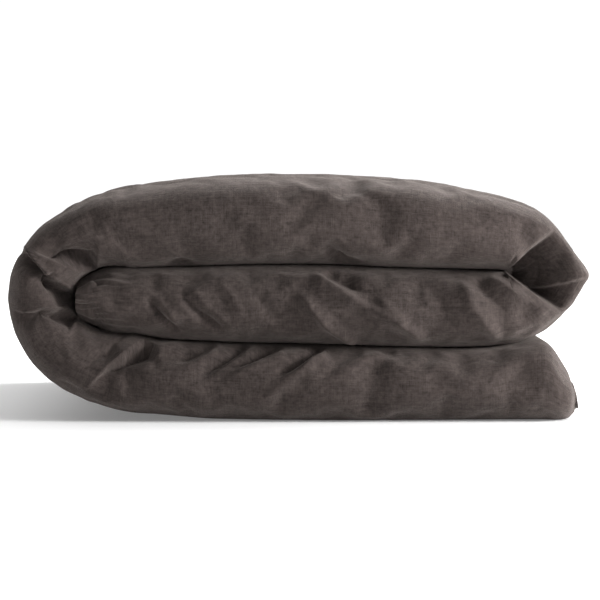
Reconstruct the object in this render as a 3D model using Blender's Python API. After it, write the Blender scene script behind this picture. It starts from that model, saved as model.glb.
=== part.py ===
"""A single duvet in its buttoned cover, folded in half along its length and then rolled into three layers.

The roll lies on its lower layer, on the plane z = 0. X runs along the roll's width, from the big fold at -X to the
tight fold at +X. Y runs from the rounded front fold at -Y to the seamed edges at +Y. Z is up.

Seen from -Y the strip starts at the right end of the lower layer, turns up and over in the big fold, comes back as
the upper layer, turns down in the end fold, and runs in between as the middle layer, whose end lies in the big
fold's eye. Every cross-section of that strip is a hairpin: the duvet was folded in half round the front, so it has
an outer and an inner half with the cover's back panel between them.

The big fold opens. It is cut into sectors that hinge on the cover's outer skin, so they part on the inside.
"""

import math

import bmesh
import bpy
from mathutils import Vector

# Overall sizes, in metres
DEPTH = 0.70  # half of the duvet's 1.40 m width
OVERALL_WIDTH = 0.676
LOWER_THICKNESS = 0.088
MIDDLE_THICKNESS = 0.0824
UPPER_THICKNESS = 0.111  # at the top of its crown
LAYER_GAP = 0.0006  # between the lower and the middle layer
FRONT_ROUNDNESS = 0.86  # depth of the front fold's rounding, to half of the strip's thickness
BACK_ROUNDNESS = 0.9  # the same for the seamed edges, to a quarter of the strip's thickness

# Cloth and what it holds
COVER_CLOTH = 0.0006
TICKING_CLOTH = 0.0004
CLEARANCE = 0.0003
FILL_CLEARANCE = 0.0006  # the filled channels turn at other stations than their casing
HALF_FOLD_GAP = 0.001  # between the two halves of the duvet, inside the hairpin
INSERT_SPARE = 0.014  # the insert is this much narrower than its cover, at the seamed edges
CHANNEL_PINCH = 0.006  # how much a filled channel thins towards its stitch lines
STITCH_GAP = 0.0012  # between two filled channels

# The big fold, at -X
FOLD_SECTOR = math.radians(45)
FOLD_STEPS = 4  # stations in a sector
EYE_REACH = 0.064  # from the fold's centre to its inner side, at -X

# The end fold, at +X: how far its skin is from the inner end of the crease, by degrees above the horizontal.
# It ends level with the middle layer at -90.
CREASE_RADIUS = 0.001
END_FOLD_REACH = {90: 0.076, 60: 0.068, 30: 0.069, 9: 0.0775, 0: 0.086, -16: 0.080, -47: 0.074}

# The upper layer's crown: straight spans, and the share of its run where it starts to fall
CROWN_SPANS = 6
CROWN_FLAT = 0.58

# The closed end of the lower layer and the buttoned end of the middle layer
LOWER_RECESS = 0.015  # how far the lower layer ends behind the end fold
END_ROUND = 0.038
END_SEAM_WIDTH = 0.0075
END_SEAM_THICKNESS = 0.002
END_SEAM_HEIGHT = 0.011
TIP_CLEARANCE = 0.0069  # from the buttoned end to the big fold's inner side
PLACKET_WIDTH = 0.024
PLACKET_CLOTH = 0.00135  # a hem turned twice
BUTTON_RADIUS = 0.0065
BUTTON_THICKNESS = 0.0024
BUTTON_HOLE = 0.0009
BUTTON_SPACING = 0.19
BUTTONS_PER_HALF = 3

# The rings that stand for the insert's corner loops and the cover's tie tapes
RING_RADIUS = 0.004
TAPE_RADIUS = 0.0007
CORNER_INSET = 0.045  # of the corner ties from the ends of the insert

# Sizes that follow from the ones above
MIDDLE_BOTTOM = LOWER_THICKNESS + LAYER_GAP
MIDDLE_TOP = MIDDLE_BOTTOM + MIDDLE_THICKNESS
CREASE_Z = MIDDLE_TOP + CREASE_RADIUS
CREASE_X = OVERALL_WIDTH / 2 - END_FOLD_REACH[0]
END_FOLD_REACH[-90] = CREASE_Z - MIDDLE_BOTTOM
UPPER_BOTTOM = CREASE_Z + CREASE_RADIUS
UPPER_END = CREASE_X - CLEARANCE
OVERALL_HEIGHT = UPPER_BOTTOM + UPPER_THICKNESS
FOLD_RADIUS = OVERALL_HEIGHT / 2
FOLD_X = FOLD_RADIUS - OVERALL_WIDTH / 2
FOLD_Z = FOLD_RADIUS
UPPER_START = FOLD_X + CLEARANCE
LOWER_END = OVERALL_WIDTH / 2 - LOWER_RECESS - END_SEAM_WIDTH - END_ROUND
END_HALF = END_SEAM_THICKNESS + HALF_FOLD_GAP / 2  # half of the strip's thickness at its seam
TIP_HALF = 2 * PLACKET_CLOTH + CLEARANCE + HALF_FOLD_GAP / 2  # the same where the buttoned hems begin
TIP_ANGLE = math.acos(2 * TIP_HALF / MIDDLE_THICKNESS)
TIP_ROUND = (EYE_REACH - PLACKET_WIDTH - TIP_CLEARANCE) / math.sin(TIP_ANGLE)
TICKING_INSET = COVER_CLOTH + CLEARANCE
FILL_INSET = TICKING_INSET + TICKING_CLOTH + FILL_CLEARANCE

COLOURS = {
    "linen": (0.075, 0.063, 0.058),
    "ticking": (0.82, 0.80, 0.75),
    "fill": (0.90, 0.89, 0.86),
    "button": (0.10, 0.075, 0.06),
    "tape": (0.70, 0.67, 0.60),
}
ROUGHNESS = {"linen": 0.9, "ticking": 0.85, "fill": 0.95, "button": 0.55, "tape": 0.9}


# ---- Scene ----


def clear_scene():
    for old in list(bpy.data.objects):
        bpy.data.objects.remove(old)


def material(name):
    found = bpy.data.materials.get(name)
    if found:
        return found
    made = bpy.data.materials.new(name)
    made.use_nodes = True
    shader = made.node_tree.nodes["Principled BSDF"]
    shader.inputs["Base Color"].default_value = (*COLOURS[name], 1.0)
    shader.inputs["Roughness"].default_value = ROUGHNESS[name]
    return made


def place(name, data, collection, material_name):
    made = bpy.data.objects.new(name, data)
    if not data.materials:
        data.materials.append(material(material_name))
    collection.objects.link(made)
    return made


# ---- The hairpin cross-section, in (y, n): n is the distance outwards from the strip's middle ----


def arc(centre, radii, start, end, steps):
    """Points on an ellipse, from angle start to angle end in degrees; 0 degrees is +y and 90 is +n."""
    points = []
    for i in range(steps + 1):
        angle = math.radians(start + (end - start) * i / steps)
        points.append((centre[0] + radii[0] * math.cos(angle), centre[1] + radii[1] * math.sin(angle)))
    return points


def half_centre(half):
    """The middle of one half of the duvet, where half is half of the strip's thickness."""
    return (half + HALF_FOLD_GAP / 2) / 2


def front_centre(half):
    """The centre, in y, that the front fold rounds about."""
    return FRONT_ROUNDNESS * half - DEPTH / 2


def back_end(half, inset, spare):
    """Centre and radii of the rounded edge at +Y of the outer half."""
    thick = half - HALF_FOLD_GAP / 2
    reach = BACK_ROUNDNESS * thick / 2
    centre = (DEPTH / 2 - spare - reach, half_centre(half))
    return centre, (BACK_ROUNDNESS * (thick / 2 - inset), thick / 2 - inset)


def face_line(half, inset, spare=0.0, seam=0.0):
    """From one seamed edge round the front fold to the other: the side of the hairpin that faces out."""
    (y, n), radii = back_end(half, inset, spare)
    reach = half - inset
    line = arc((y, n + seam), (radii[0], radii[1] - seam), 0, 90, 2)
    line += arc((front_centre(half), 0), (FRONT_ROUNDNESS * reach, reach), 90, 270, 6)
    line += arc((y, -n - seam), (radii[0], radii[1] - seam), 270, 360, 2)
    return line


def back_line(half, inset, spare=0.0, seam=0.0):
    """The side of the hairpin that lies in the half fold, from the inner half's edge to the outer half's."""
    (y, n), radii = back_end(half, inset, spare)
    bend = HALF_FOLD_GAP / 2 + inset
    line = arc((y, -n + seam), (radii[0], radii[1] - seam), 0, 90, 2)
    line += arc((front_centre(half), 0), (FRONT_ROUNDNESS * bend, bend), 270, 90, 2)
    line += arc((y, n - seam), (radii[0], radii[1] - seam), 270, 360, 2)
    return line


def face_panel(half, inset, cloth):
    """The cover's face panel, which ends at the seams on both edges."""
    outside = face_line(half, inset, seam=CLEARANCE / 2)
    return outside + face_line(half, inset + cloth, seam=CLEARANCE / 2)[::-1]


def back_panel(half, inset, cloth):
    """The cover's back panel, inside the half fold."""
    outside = back_line(half, inset, seam=CLEARANCE / 2)
    return outside + back_line(half, inset + cloth, seam=CLEARANCE / 2)[::-1]


def hairpin(half, inset, spare):
    """The closed outline of the duvet's two halves and the fold that joins them."""
    return face_line(half, inset, spare)[:-1] + back_line(half, inset, spare)[:-1]


# ---- Stations: where a cross-section stands, as (middle, outward direction, half the thickness) ----


def station(outer, inner):
    outer, inner = Vector(outer), Vector(inner)
    across = outer - inner
    return (outer + inner) / 2, across.normalized(), across.length / 2


def at_station(where, outline):
    middle, outward, _ = where
    return [(middle.x + outward.x * n, y, middle.y + outward.y * n) for y, n in outline]


def eye(angle):
    """The big fold's inner radius: two quarter ellipses that meet the lower and the upper layer."""
    height = FOLD_Z - LOWER_THICKNESS if math.cos(angle) > 0 else UPPER_BOTTOM - FOLD_Z
    return 1 / math.hypot(math.sin(angle) / EYE_REACH, math.cos(angle) / height)


def fold_station(angle):
    """In the big fold, by the angle from straight down round to straight up."""
    outward = Vector((-math.sin(angle), -math.cos(angle)))
    centre = Vector((FOLD_X, FOLD_Z))
    return station(centre + outward * FOLD_RADIUS, centre + outward * eye(angle))


def fold_stations(start, end, steps):
    """Stations from angle start to angle end, drawn in a little at the sector's hinged faces."""
    part = CLEARANCE / 2 / FOLD_RADIUS
    low = start + (part if start > 0 else 0)
    high = end - (part if end < math.pi else 0)
    return [fold_station(low + (high - low) * i / steps) for i in range(steps + 1)]


def lower_end_station(turn):
    """On the lower layer's rounded end, by the angle of the turn."""
    x = LOWER_END + END_ROUND * math.sin(turn)
    low, high = END_SEAM_HEIGHT - END_HALF, END_SEAM_HEIGHT + END_HALF
    return station((x, low * (1 - math.cos(turn))), (x, high + (LOWER_THICKNESS - high) * math.cos(turn)))


def lower_station(x):
    return station((x, 0), (x, LOWER_THICKNESS))


def crown(x):
    """The height of the upper layer's upper side, straight within each span."""
    run = CROWN_SPANS * (x - UPPER_START) / (UPPER_END - UPPER_START)
    span = min(int(run), CROWN_SPANS - 1)
    near, far = (max(0, (s / CROWN_SPANS - CROWN_FLAT) / (1 - CROWN_FLAT)) ** 2 for s in (span, span + 1))
    fall = near + (far - near) * (run - span)
    return OVERALL_HEIGHT - (OVERALL_HEIGHT - CREASE_Z - END_FOLD_REACH[90]) * fall


def upper_station(x):
    return station((x, crown(x)), (x, UPPER_BOTTOM))


def end_fold_station(degrees):
    angle = math.radians(degrees)
    outward = Vector((math.cos(angle), math.sin(angle)))
    crease = Vector((CREASE_X, CREASE_Z))
    return station(crease + outward * END_FOLD_REACH[degrees], crease + outward * CREASE_RADIUS)


def middle_station(x):
    return station((x, MIDDLE_BOTTOM), (x, MIDDLE_TOP))


def tip_station(turn):
    """On the middle layer's rounded end, in the big fold's eye."""
    x = FOLD_X - TIP_ROUND * math.sin(turn)
    middle = (MIDDLE_BOTTOM + MIDDLE_TOP) / 2
    half = (MIDDLE_TOP - MIDDLE_BOTTOM) / 2 * math.cos(turn)
    lift = 0.010 * (1 - math.cos(turn))
    return station((x, middle + lift - half), (x, middle + lift + half))


def evenly(start, end, steps):
    return [start + (end - start) * i / steps for i in range(steps + 1)]


# ---- Solids ----


def loft(name, outlines, collection, material_name, holes=None):
    """A closed solid through matching outlines. With holes, a sleeve: the outlines' walls and the holes' walls."""
    shape = bmesh.new()
    rings = [[shape.verts.new(p) for p in outline] for outline in outlines]
    inner = [[shape.verts.new(p) for p in outline] for outline in holes or []]
    for walls in (rings, inner):
        for first, second in zip(walls, walls[1:]):
            bridge(shape, first, second)
    for end in (0, -1):
        if inner:
            bridge(shape, rings[end], inner[end])
        else:
            shape.faces.new(rings[end])
    bmesh.ops.recalc_face_normals(shape, faces=shape.faces[:])
    # Walls that follow one another at a small distance must bend along the same diagonals
    bmesh.ops.triangulate(shape, faces=[f for f in shape.faces if len(f.verts) == 4], quad_method="SHORT_EDGE")
    mesh = bpy.data.meshes.new(name)
    shape.to_mesh(mesh)
    shape.free()
    mesh.shade_smooth()
    mesh.set_sharp_from_angle(angle=math.radians(40))
    return place(name, mesh, collection, material_name)


def bridge(shape, first, second):
    """Faces between two closed rings of as many points."""
    for i in range(len(first)):
        j = (i + 1) % len(first)
        shape.faces.new((first[i], first[j], second[j], second[i]))


def swept(name, stations, outline, collection, material_name):
    """A loft of one rule for the outline, applied to each station's own thickness."""
    return loft(name, [at_station(s, outline(s[2])) for s in stations], collection, material_name)


def cover_section(name, stations, collection):
    """The cover's two panels over one stretch of the strip."""
    swept(f"cover_face_{name}", stations, lambda half: face_panel(half, 0, COVER_CLOTH), collection, "linen")
    swept(f"cover_back_{name}", stations, lambda half: back_panel(half, 0, COVER_CLOTH), collection, "linen")


def ticking_section(name, stations, collection):
    """The insert's own casing, a sleeve inside the cover."""
    outer = [at_station(s, hairpin(s[2], TICKING_INSET, INSERT_SPARE)) for s in stations]
    inner_inset = TICKING_INSET + TICKING_CLOTH
    inner = [at_station(s, hairpin(s[2], inner_inset, INSERT_SPARE)) for s in stations]
    loft(f"ticking_{name}", outer, collection, "ticking", holes=inner)


def fill_channel(name, stations, collection):
    """One filled channel of the insert, thinner at the stitch lines on both of its ends."""
    outlines = []
    for i, where in enumerate(stations):
        at_end = i in (0, len(stations) - 1)
        inset = FILL_INSET + (CHANNEL_PINCH if at_end else 0)
        outlines.append(at_station(where, hairpin(where[2], inset, INSERT_SPARE)))
    loft(f"fill_{name}", outlines, collection, "fill")


def straight_channels(name, start, end, count, where, collection):
    """Filled channels side by side along a straight layer, where gives the station at an x."""
    edges = evenly(start, end, count)
    side = math.copysign(STITCH_GAP / 2, end - start)
    for number, (first, last) in enumerate(zip(edges, edges[1:]), start=1):
        first, last = first + side, last - side
        shoulder = (last - first) * 0.12
        stops = [first, first + shoulder, (first + last) / 2, last - shoulder, last]
        fill_channel(f"{name}_{number}", [where(x) for x in stops], collection)


# ---- The duvet ----


def build_lower_layer(collection):
    turns = [math.radians(a) for a in (90, 67, 45, 22)]
    straight = [lower_station(x) for x in evenly(LOWER_END, FOLD_X + CLEARANCE, 2)]
    cover_section("lower", [lower_end_station(t) for t in turns] + straight, collection)
    ticking_section("lower", [lower_end_station(t) for t in turns[1:]] + straight, collection)
    straight_channels("lower", LOWER_END, FOLD_X, 3, lower_station, collection)
    middle, outward, half = lower_end_station(turns[0])
    ends = [(middle + Vector((x, 0)), outward, half) for x in (CLEARANCE, END_SEAM_WIDTH)]
    swept("cover_end_seam", ends, lambda h: hairpin(h, 0, 0), collection, "linen")


def build_big_fold(collection):
    """Half a sector joined to the lower layer, three that turn, and half a sector joined to the upper layer."""
    edges = [0, *(FOLD_SECTOR * (k + 0.5) for k in range(4)), math.pi]
    for letter, start, end in zip("abcde", edges, edges[1:]):
        steps = round(FOLD_STEPS * (end - start) / FOLD_SECTOR)
        stations = fold_stations(start, end, steps)
        cover_section(f"fold_{letter}", stations, collection)
        ticking_section(f"fold_{letter}", stations, collection)
        fill_channel(f"fold_{letter}", stations, collection)


def build_upper_layer(collection):
    straight = [upper_station(x) for x in evenly(UPPER_START, UPPER_END, CROWN_SPANS)]
    cover_section("upper", straight, collection)
    ticking_section("upper", straight, collection)
    straight_channels("upper", UPPER_START, UPPER_END, CROWN_SPANS // 2, upper_station, collection)


def build_end_fold(collection):
    stations = [end_fold_station(degrees) for degrees in END_FOLD_REACH]
    cover_section("end_fold", stations, collection)
    ticking_section("end_fold", stations, collection)
    fill_channel("end_fold", stations, collection)


def build_middle_layer(collection):
    start = UPPER_END
    turns = [TIP_ANGLE * share for share in (0.25, 0.5, 0.75, 1)]
    straight = [middle_station(x) for x in evenly(start, FOLD_X, 2)]
    cover_section("middle", straight + [tip_station(t) for t in turns], collection)
    ticking_section("middle", straight + [tip_station(t) for t in turns[:-1]], collection)
    straight_channels("middle", start, FOLD_X, 3, middle_station, collection)
    build_placket(tip_station(TIP_ANGLE), collection)


def build_placket(tip, collection):
    """The buttoned hems: one on the face panel, one on the back panel, and a row of buttons on each half."""
    middle, outward, half = tip
    root, edge = (Vector((-x, 0)) for x in (CLEARANCE, PLACKET_WIDTH))
    ends = [(middle + root, outward, half), (middle + edge, outward, half)]
    swept("cover_placket_over", ends, lambda h: face_panel(h, 0, PLACKET_CLOTH), collection, "linen")
    swept("cover_placket_under", ends, lambda h: back_panel(h, 0, PLACKET_CLOTH), collection, "linen")
    drawn = button_outline()
    stand_off = half + CLEARANCE + BUTTON_THICKNESS / 2
    for side, sign in (("outer", 1), ("inner", -1)):
        for number in range(BUTTONS_PER_HALF):
            button = place(f"button_{side}_{number + 1}", drawn, collection, "button")
            y = (number - (BUTTONS_PER_HALF - 1) / 2) * BUTTON_SPACING
            spot = middle + edge / 2 + outward * stand_off * sign
            button.location = (spot.x, y, spot.y)


def button_outline():
    """A flat button with four holes."""
    drawn = bpy.data.curves.new("button", "CURVE")
    drawn.dimensions = "2D"
    drawn.fill_mode = "BOTH"
    drawn.extrude = BUTTON_THICKNESS / 2
    circle(drawn, 0, 0, BUTTON_RADIUS, 16)
    for quarter in range(4):
        angle = math.radians(45 + 90 * quarter)
        reach = 2.2 * BUTTON_HOLE
        circle(drawn, reach * math.cos(angle), reach * math.sin(angle), BUTTON_HOLE, 5)
    drawn.materials.append(material("button"))
    return drawn


def circle(drawn, x, y, radius, sides):
    spline = drawn.splines.new("POLY")
    spline.points.add(sides - 1)
    for i, point in enumerate(spline.points):
        angle = math.tau * i / sides
        point.co = (x + radius * math.cos(angle), y + radius * math.sin(angle), 0, 1)
    spline.use_cyclic_u = True


def ring(name, centre, upright, collection, material_name):
    """A small closed loop of tape, flat or, when upright, standing along Y."""
    bpy.ops.mesh.primitive_torus_add(
        major_radius=RING_RADIUS, minor_radius=TAPE_RADIUS, major_segments=12, minor_segments=5
    )
    made = bpy.context.object
    made.name = name
    made.data.materials.append(material(material_name))
    made.data.shade_smooth()
    made.location = centre
    made.rotation_euler = (0, math.radians(90) if upright else 0, 0)
    for holder in list(made.users_collection):
        holder.objects.unlink(made)
    collection.objects.link(made)


def build_corner_ties(collection):
    """At each corner of the insert a loop on its casing, linked with a tie on the cover's seam."""
    ticking_back = DEPTH / 2 - INSERT_SPARE - TICKING_INSET
    loop_y = ticking_back + CLEARANCE + RING_RADIUS + TAPE_RADIUS
    tie_y = DEPTH / 2 - COVER_CLOTH - CLEARANCE - RING_RADIUS - TAPE_RADIUS
    corners = {
        "closed_end": lower_station(LOWER_END - CORNER_INSET),
        "buttoned_end": middle_station(FOLD_X + CORNER_INSET),
    }
    for corner, (middle, outward, half) in corners.items():
        for side, sign in (("outer", 1), ("inner", -1)):
            spot = middle + outward * half_centre(half) * sign
            ring(f"insert_loop_{corner}_{side}", (spot.x, loop_y, spot.y), False, collection, "ticking")
            ring(f"cover_tie_{corner}_{side}", (spot.x, tie_y, spot.y), True, collection, "tape")


def main():
    clear_scene()
    collection = bpy.data.collections.new("folded_duvet")
    bpy.context.scene.collection.children.link(collection)
    build_lower_layer(collection)
    build_big_fold(collection)
    build_upper_layer(collection)
    build_end_fold(collection)
    build_middle_layer(collection)
    build_corner_ties(collection)


main()
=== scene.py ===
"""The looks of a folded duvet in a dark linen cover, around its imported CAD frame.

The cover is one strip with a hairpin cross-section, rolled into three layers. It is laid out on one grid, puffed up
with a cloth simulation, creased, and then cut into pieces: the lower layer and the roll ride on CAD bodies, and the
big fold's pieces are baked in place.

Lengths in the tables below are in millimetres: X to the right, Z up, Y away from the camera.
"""

import math

import bmesh
import bpy
import numpy as np
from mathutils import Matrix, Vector


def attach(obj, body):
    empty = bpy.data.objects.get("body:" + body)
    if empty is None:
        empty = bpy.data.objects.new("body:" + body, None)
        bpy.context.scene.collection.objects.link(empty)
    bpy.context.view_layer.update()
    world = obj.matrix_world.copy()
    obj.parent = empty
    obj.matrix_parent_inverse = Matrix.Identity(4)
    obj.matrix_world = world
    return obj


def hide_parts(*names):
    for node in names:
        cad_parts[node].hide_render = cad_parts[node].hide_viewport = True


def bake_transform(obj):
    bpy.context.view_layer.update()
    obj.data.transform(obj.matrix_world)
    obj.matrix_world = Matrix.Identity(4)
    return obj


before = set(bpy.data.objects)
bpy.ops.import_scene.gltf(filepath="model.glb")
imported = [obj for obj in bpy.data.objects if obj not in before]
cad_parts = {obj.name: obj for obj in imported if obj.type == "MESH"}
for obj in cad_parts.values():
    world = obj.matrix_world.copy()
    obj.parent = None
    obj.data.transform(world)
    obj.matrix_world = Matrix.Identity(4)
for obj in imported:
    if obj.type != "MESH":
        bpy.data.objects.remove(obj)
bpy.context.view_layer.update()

MM = 0.001

# ---- The strip's middle lines and thicknesses -------------------------------------------------------------------

FOLD_CENTRE = (-196.0, 142.0)
GAP = 0.6  # half of the gap between the duvet's two halves
HALF_DEPTH = 350.0
FLAT_STEP = 4.2  # between stations on the flat layers
FOLD_STEP = 3.2  # and round the big fold
SEAM_LIP = 1.6

# The big fold's outer and inner radius by the angle from straight down, over the left, to straight up
FOLD_OUTER = {0: 134, 12: 131, 25: 130, 39: 132.5, 55: 136, 80: 141, 90: 142, 102: 141.5, 125: 135.5, 140: 129.5,
              154: 127, 168: 127.5, 180: 129}
FOLD_INNER = {0: 41, 30: 45, 60: 60, 75: 67, 90: 70, 105: 66, 130: 54, 155: 42, 180: 36}

LOWER_UNDER = {-196: 8, -167: 6, -139: 3.5, -111: 1, -80: 0, 325: 0}
LOWER_TOP = {-196: 101, -175: 96, -115: 91.5, 37: 87, 150: 84, 212: 84, 245: 88, 270: 93, 284: 94}
UPPER_TOP = {-196: 271, -167: 275, -139: 279, -111: 282, -57: 284, 30: 284, 86: 281.5, 114: 280, 142: 277,
             170: 273, 198: 268, 226: 262, 254: 253}
UPPER_UNDER = {-196: 178, -127: 180, -40: 182, 37: 182, 100: 179, 177: 177, 254: 175}
MIDDLE_TOP = {-258: 157, -238: 168, -218: 174.5, -196: 177, -127: 179, -40: 181, 37: 181, 100: 178, 177: 176, 254: 173}
MIDDLE_UNDER = {-258: 124, -238: 115, -218: 106.5, -196: 101.5, -175: 97, -115: 92.5, 37: 88, 150: 85, 212: 85.5,
                232: 86.5, 254: 89}

# The end fold's skin about the end of its crease, by degrees above the horizontal
CREASE_END = (240.0, 174.0)
END_FOLD = {90: 84, 80: 81.2, 57: 78.4, 40: 77.8, 29: 79.2, 18: 82.5, 10: 87, 4: 91.5, -3: 96.5, -9: 93, -15: 90.5,
            -26: 88.2, -41: 82.6, -61: 83.2, -77: 84.9, -90: 86}

LOWER_ROUND = 38.0  # the closed end's rounding
TIP_ROUND = 38.0  # the buttoned end's rounding at the front
TIP_START, HEM_ROOT, HEM_EDGE = -196.0, -229.0, -253.0
HEM_LEVEL = 139.0
PLUG_FRONT, PLUG_BACK = -262.0, -226.0  # where the buttoned end's full front corner thins out to the hems


def table(values, x):
    """A smooth line through the table's points."""
    keys = np.array(sorted(values), float)
    heights = np.array([values[k] for k in sorted(values)], float)
    x = np.clip(np.asarray(x, float), keys[0], keys[-1])
    slopes = np.gradient(heights, keys)
    i = np.clip(np.searchsorted(keys, x) - 1, 0, len(keys) - 2)
    width = keys[i + 1] - keys[i]
    t = (x - keys[i]) / width
    a = (1 + 2 * t) * (1 - t) ** 2 * heights[i] + t * (1 - t) ** 2 * width * slopes[i]
    return a + t * t * (3 - 2 * t) * heights[i + 1] + t * t * (t - 1) * width * slopes[i + 1]


def smoothstep(low, high, x):
    t = np.clip((np.asarray(x, float) - low) / (high - low), 0, 1)
    return t * t * (3 - 2 * t)


def row(outer, inner, gap=GAP, front_out=48.0, front_in=46.0, push=0.0):
    """A station: outer and inner point, half the gap, the front's rounding each way, and how far it stands back."""
    return [*outer, *inner, gap, front_out, front_in, push]


def closing(x, start, reach, half, seam):
    """Half the thickness and half the gap where the strip's two halves each close to a seam."""
    u = np.clip((start - x) / reach if start < 0 else (x - start) / reach, 0, 1)
    swell = math.sqrt(max(1 - u**2.3, 0))
    centre = (half + GAP) / 2
    return centre + (half - centre) * swell + seam * (1 - swell), centre - (centre - GAP) * swell - seam * (1 - swell)


def lower_row(x):
    start = 284.0
    under, top = float(table(LOWER_UNDER, x)), float(table(LOWER_TOP, min(x, start)))
    half, gap = closing(x, start, LOWER_ROUND, (top - under) / 2, 0.8)
    middle = (top + under) / 2 - 6 * smoothstep(start, start + LOWER_ROUND, x)
    lean = 4 * smoothstep(start - 20, start + LOWER_ROUND, x)
    return row((x + lean, middle - half), (x - lean, middle + half), gap, 66, 58, -2)


def fold_row(degrees):
    angle = math.radians(degrees)
    outward = np.array([-math.sin(angle), -math.cos(angle)])
    centre = np.array(FOLD_CENTRE)
    outer = centre + outward * float(table(FOLD_OUTER, degrees))
    inner = centre + outward * float(table(FOLD_INNER, degrees))
    turned = math.sin(angle)
    side = smoothstep(90, 180, degrees)
    return row(outer, inner, GAP, 66 + 22 * side, 58 + 6 * turned, -2 + 4 * side)


def upper_row(x):
    front = 88 - 20 * smoothstep(150, 240, x)
    return row((x, float(table(UPPER_TOP, x))), (x, float(table(UPPER_UNDER, x))), GAP, front, 66, 2)


def end_fold_row(degrees):
    angle = math.radians(degrees)
    outward = np.array([math.cos(angle), math.sin(angle)])
    centre = np.array(CREASE_END)
    outer = centre + outward * float(table(END_FOLD, degrees))
    front = 56 + 12 * smoothstep(30, 90, degrees)
    return row(outer, centre + outward * 1.5, GAP, front, 50, 2 + 4 * smoothstep(40, -60, degrees))


def middle_row(x):
    under, top = float(table(MIDDLE_UNDER, x)), float(table(MIDDLE_TOP, x))
    return row((x, under), (x, top), GAP, 60, 58, 6)


def tip_row(share, full):
    """The buttoned end: its full front corner, or thinned out to the root of its hems."""
    if full:
        x = TIP_START - 62 * share
        made = middle_row(x)
        half = (made[3] - made[1]) / 2
        reach = min((TIP_START - x) / TIP_ROUND, 1)
        made[4] = GAP + (half - 3.4 - GAP) * (1 - math.sqrt(max(1 - reach**2.3, 0)))
        return made
    turn = math.sin(share * math.pi / 2)
    x = TIP_START + (HEM_ROOT - TIP_START) * turn
    start = middle_row(TIP_START)
    level = HEM_LEVEL + ((start[1] + start[3]) / 2 - HEM_LEVEL) * (1 - share)
    half = 3.7 + ((start[3] - start[1]) / 2 - 3.7) * math.sqrt(max(1 - turn**2, 0))
    return row((x, level - half), (x, level + half), GAP, 60, 58, 6)


def strip_rows(full):
    """Rows of the strip from the closed end to the buttoned end, by section."""
    lower_x = [322.0, 321, 318.5, 314.5, 309, 302, 294, 284, 272, *np.linspace(255, -196, 16)]
    lower = [lower_row(x) for x in lower_x]
    # a narrow lip beyond the closed end
    lip = list(lower[0])
    lip[0] += SEAM_LIP
    lip[2] += SEAM_LIP
    sections = {"lower": [lip, *lower]}
    for part in range(4):
        sections[f"fold_{part}"] = [fold_row(d) for d in np.linspace(45 * part, 45 * part + 45, 5)]
    upper = [upper_row(x) for x in np.linspace(-196, 232, 14)]
    turn = [end_fold_row(d) for d in (84, 72, 62, 52, 42, 32, 22, 12, 4, -3, -10, -18, -28, -40, -54, -68, -82)]
    middle = [middle_row(x) for x in np.linspace(232, TIP_START, 14)]
    tip = [tip_row(share, full) for share in (0.16, 0.32, 0.48, 0.6, 0.72, 0.84, 0.93, 1.0)]
    sections["roll"] = upper + turn + middle + tip
    return sections


TIP_ROWS, TIP_LENGTH = 8, 64.0


def resample(full):
    """The rows at an even spacing, and the index at which each section starts and ends."""
    sections = strip_rows(full)
    rows, marks = [], {}
    for name, part in sections.items():
        start = len(rows) - 1 if rows else 0
        rows += part if not rows else part[1:]
        marks[name] = (start, len(rows) - 1)
    rows = np.array(rows, float)
    # distances along the outer and the inner skin, whichever moves more
    step = np.maximum(np.linalg.norm(np.diff(rows[:, :2], axis=0), axis=1),
                      np.linalg.norm(np.diff(rows[:, 2:4], axis=0), axis=1))
    along = np.concatenate([[0], np.cumsum(step)])
    # both kinds of tip are spaced alike, so that they match point for point
    along[-TIP_ROWS:] = along[-TIP_ROWS - 1] + TIP_LENGTH * np.arange(1, TIP_ROWS + 1) / TIP_ROWS
    places, spans = [], {}
    for name, (a, b) in marks.items():
        spacing = FOLD_STEP if name.startswith("fold") else FLAT_STEP
        count = max(4, 2 * round((along[b] - along[a]) / spacing / 2))
        new = np.linspace(along[a], along[b], count + 1)
        start = len(places) - 1 if places else 0
        places += list(new if not places else new[1:])
        spans[name] = (start, len(places) - 1)
    places = np.array(places)
    slopes = np.gradient(rows, along, axis=0)
    i = np.clip(np.searchsorted(along, places) - 1, 0, len(along) - 2)
    width = (along[i + 1] - along[i])[:, None]
    t = ((places - along[i]) / width[:, 0])[:, None]
    out = (1 + 2 * t) * (1 - t) ** 2 * rows[i] + t * (1 - t) ** 2 * width * slopes[i]
    out += t * t * (3 - 2 * t) * rows[i + 1] + t * t * (t - 1) * width * slopes[i + 1]
    out[:, 4] = np.maximum(out[:, 4], GAP)
    return out, spans, places


# ---- The hairpin outline ----------------------------------------------------------------------------------------

FACE_STEPS = 56
FRONT_STEPS = 64
EDGE_STEPS = 8
BACK_STEPS = 20
BEND_STEPS = 8


def outline_parts():
    """(part, share) of each point round the outline."""
    parts = []
    for name, steps in (("edge_out", EDGE_STEPS), ("face_out", FACE_STEPS), ("front", FRONT_STEPS),
                        ("face_in", FACE_STEPS), ("edge_in", EDGE_STEPS), ("edge_in_back", EDGE_STEPS),
                        ("back_in", BACK_STEPS), ("bend", BEND_STEPS), ("back_out", BACK_STEPS),
                        ("edge_out_back", EDGE_STEPS)):
        parts += [(name, i / steps) for i in range(steps)]
    return parts


OUTLINE = outline_parts()


def spread(share):
    """Puts more points near the front."""
    return share * (0.42 + 0.58 * share)


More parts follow.
